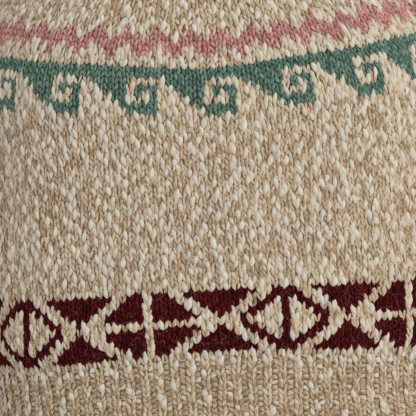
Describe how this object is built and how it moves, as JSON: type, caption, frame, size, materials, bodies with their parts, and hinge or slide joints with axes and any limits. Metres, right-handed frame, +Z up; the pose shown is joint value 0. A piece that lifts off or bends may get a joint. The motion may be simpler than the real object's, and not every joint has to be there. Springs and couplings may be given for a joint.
{
  "type": "crewneck sweater",
  "caption": "Chunky hand-knitted crewneck sweater with a round patterned yoke, ribbed hem, cuffs and neckband, hollow and in its worn shape.",
  "frame": {"origin": "the middle of the neck, level with the two points where the shoulders meet the neckband", "axes": "+Z up, the front faces -Y, and the wearer's left is +X"},
  "size_m": [0.8506, 0.2649, 0.677],
  "materials": {
    "marl_yarn": "matte thick-and-thin wool, cream slubs on a tan marl",
    "green_yarn": "matte heathered sage-green wool",
    "pink_yarn": "matte heathered dusty-pink wool",
    "burgundy_yarn": "matte dark burgundy wool with a pale haze of hairs"
  },
  "bodies": {
    "root": {"yoke": "marl_yarn", "body_front": "marl_yarn", "body_back": "marl_yarn", "sleeve_left": "marl_yarn", "sleeve_right": "marl_yarn", "cuff_left": "marl_yarn", "cuff_right": "marl_yarn", "hem_rib": "marl_yarn", "neckband": "marl_yarn"}
  },
  "joints": []
}
